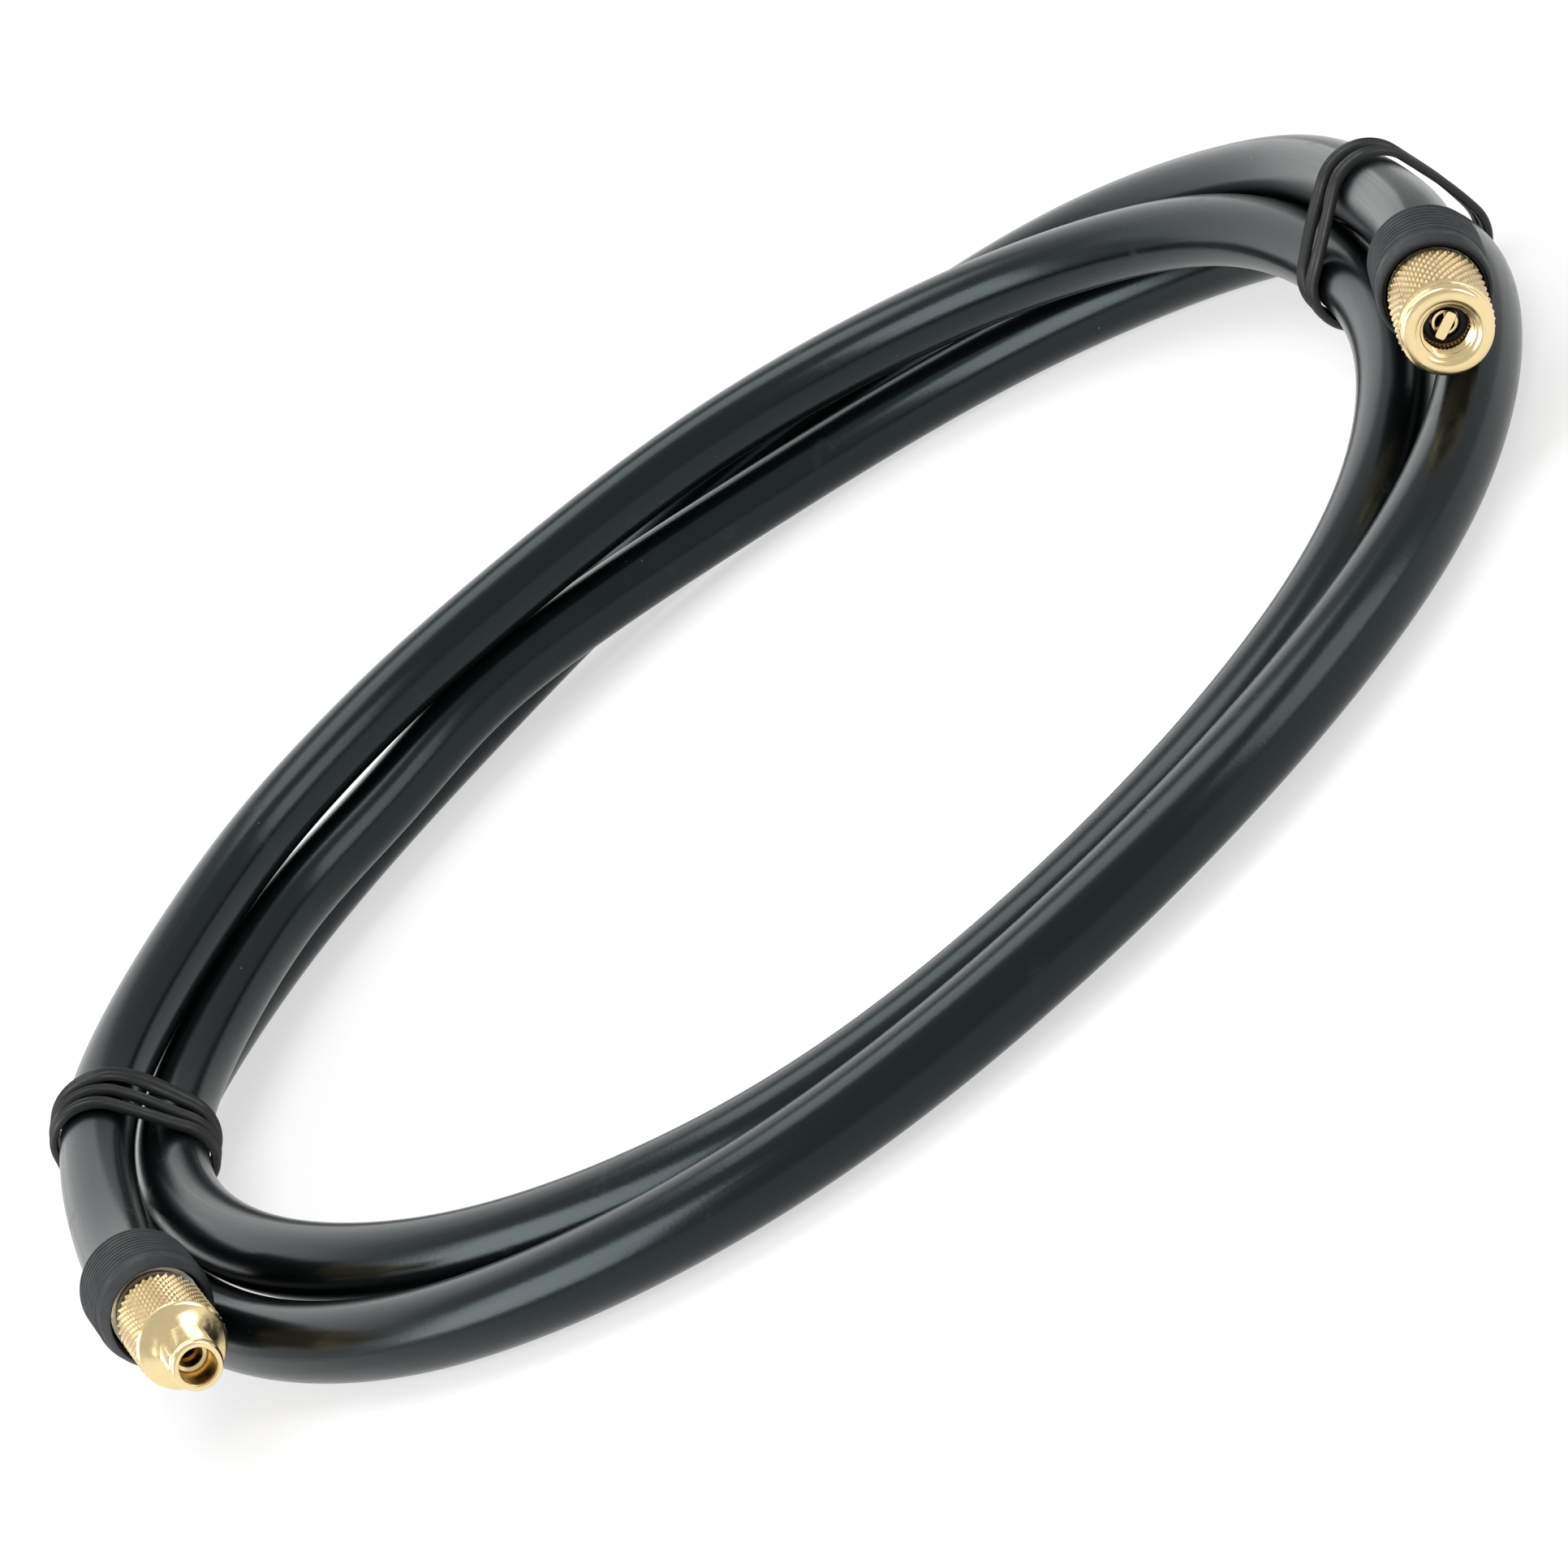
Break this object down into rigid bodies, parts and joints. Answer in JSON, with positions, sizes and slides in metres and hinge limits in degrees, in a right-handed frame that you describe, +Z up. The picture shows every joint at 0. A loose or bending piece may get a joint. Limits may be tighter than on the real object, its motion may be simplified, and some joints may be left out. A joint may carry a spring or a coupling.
{
  "type": "air extension hose",
  "caption": "Coiled rubber air hose, tied with rubber bands, with a male tyre valve fitting on one end and a female swivel valve connector on the other, each behind a grooved collar.",
  "frame": {"origin": "centre of the bounding box of the coil on the surface it lies on", "axes": "+Z up, the coil lies flat; +X towards the side with the female connector; the two ends point roughly towards -Y"},
  "size_m": [0.2768, 0.2719, 0.0318],
  "materials": {
    "hose_rubber": "glossy black cover, blue in its highlights",
    "collar_rubber": "matt charcoal",
    "ferrule_metal": "plain crimped sleeve, hidden under the collar",
    "brass": "pale turned brass, diamond knurled where it is gripped",
    "seal_rubber": "matt black",
    "tie_rubber": "satin black, ribbed along its length"
  },
  "bodies": {
    "root": {"hose": "hose_rubber", "male_collar": "collar_rubber", "male_ferrule": "ferrule_metal", "male_fitting": "brass", "female_collar": "collar_rubber", "female_ferrule": "ferrule_metal", "female_stem": "brass", "seal_washer": "seal_rubber", "valve_depressor": "brass", "left_tie": "tie_rubber", "right_tie": "tie_rubber"},
    "swivel_nut": {"female_nut": "brass"}
  },
  "joints": [
    {"name": "nut_swivel", "type": "hinge", "parent": "root", "child": "swivel_nut", "pos_m": [0.12799, -0.04881, 0.0223], "axis": [-0.061, -0.9981, 0], "continuous": true}
  ]
}
